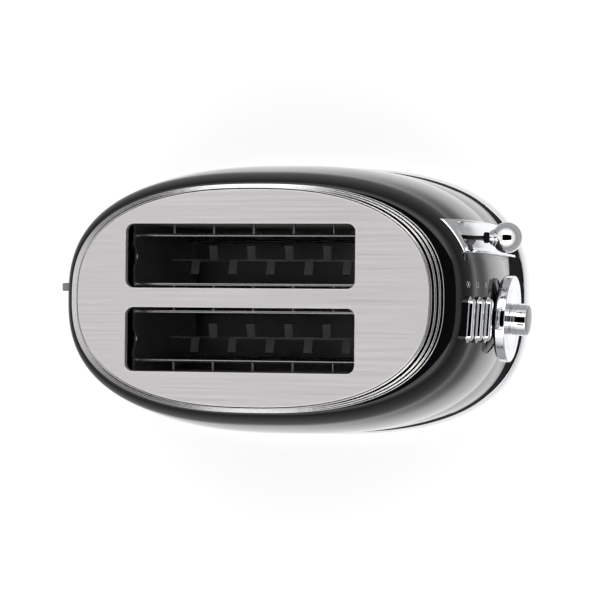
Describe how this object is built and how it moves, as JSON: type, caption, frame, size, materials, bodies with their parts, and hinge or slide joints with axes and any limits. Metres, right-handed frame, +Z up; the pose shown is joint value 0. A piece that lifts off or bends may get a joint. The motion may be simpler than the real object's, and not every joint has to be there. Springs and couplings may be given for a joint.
{
  "type": "toaster",
  "caption": "Oval two-slot toaster with a gloss black shell, brushed top plate, stepped bright rim, ball-ended lever in a bright trough, a round dial, push buttons and a crumb tray.",
  "frame": {"origin": "on the table under the middle of the toaster's overall box, dial included", "axes": "+X towards the end with the dial and the lever, +Y to the lever's side, +Z up"},
  "size_m": [0.3008, 0.178, 0.19],
  "materials": {
    "gloss_black": "high-gloss black",
    "satin_black": "satin black",
    "top_steel": "brushed",
    "bright_chrome": "polished",
    "satin_metal": "satin",
    "plain_steel": "plain sheet",
    "reflector": "bright sheet",
    "mica": "mica sheet",
    "ribbon_wire": "dull",
    "wire": "polished wire",
    "bush_brass": "plain",
    "coil_iron": "wound coil",
    "painted_black": "satin black",
    "board_green": "printed circuit board",
    "grey_plastic": "satin grey",
    "foot_rubber": "matt"
  },
  "bodies": {
    "housing": {"shell": "gloss_black", "top_rim": "bright_chrome", "top_plate": "top_steel", "skirt_band": "satin_black", "base_ring": "bright_chrome", "base_pan": "satin_black", "base_screws": "plain_steel", "feet": "foot_rubber", "rear_end_plate": "plain_steel", "front_end_plate": "plain_steel", "side_reflectors": "reflector", "centre_reflector": "reflector", "outer_heater_boards": "mica", "inner_heater_boards": "mica", "heater_ribbons": "ribbon_wire", "left_bread_guides": "wire", "right_bread_guides": "wire", "guide_rods": "plain_steel", "rod_bridge": "plain_steel", "return_spring": "plain_steel", "latch_magnet": "coil_iron", "lever_surround": "bright_chrome", "dial_control": "satin_black", "button_bezels": "bright_chrome", "button_switches": "satin_black", "control_board": "board_green", "tray_runners": "satin_black", "rear_spacer": "grey_plastic", "cord_inlet": "foot_rubber"},
    "carriage": {"left_bread_carrier": "plain_steel", "right_bread_carrier": "plain_steel", "carriage_plate": "plain_steel", "carriage_bushings": "bush_brass", "latch_armature": "plain_steel", "lever_arm": "painted_black", "lever_neck": "satin_black", "lever_knob": "bright_chrome"},
    "dial": {"dial_flange": "bright_chrome", "dial_grip": "bright_chrome", "dial_cap": "satin_metal", "dial_shaft": "satin_black"},
    "tray": {"crumb_tray": "plain_steel", "tray_door": "satin_black"},
    "defrost_button": {"defrost_button": "bright_chrome"},
    "reheat_button": {"reheat_button": "bright_chrome"},
    "cancel_button": {"cancel_button": "bright_chrome"}
  },
  "joints": [
    {"name": "lever_slide", "type": "slide", "parent": "housing", "child": "carriage", "axis": [0, 0, -1], "range_m": [0, 0.055], "stiffness_N_per_m": 80, "springref_m": -0.03, "deforming": ["return_spring"]},
    {"name": "dial_turn", "type": "hinge", "parent": "housing", "child": "dial", "pos_m": [0.13037, -0.0106, 0.102], "axis": [0.9972, -0.061, 0.0436], "range_deg": [-135, 135]},
    {"name": "tray_slide", "type": "slide", "parent": "housing", "child": "tray", "axis": [-1, 0, 0], "range_m": [0, 0.15]},
    {"name": "defrost_button_press", "type": "slide", "parent": "housing", "child": "defrost_button", "axis": [-0.9972, 0.061, -0.0436], "range_m": [0, 0.0015], "stiffness_N_per_m": 400, "springref_m": -0.001},
    {"name": "reheat_button_press", "type": "slide", "parent": "housing", "child": "reheat_button", "axis": [-0.9972, 0.061, -0.0436], "range_m": [0, 0.0015], "stiffness_N_per_m": 400, "springref_m": -0.001},
    {"name": "cancel_button_press", "type": "slide", "parent": "housing", "child": "cancel_button", "axis": [-0.9972, 0.061, -0.0436], "range_m": [0, 0.0015], "stiffness_N_per_m": 400, "springref_m": -0.001}
  ]
}
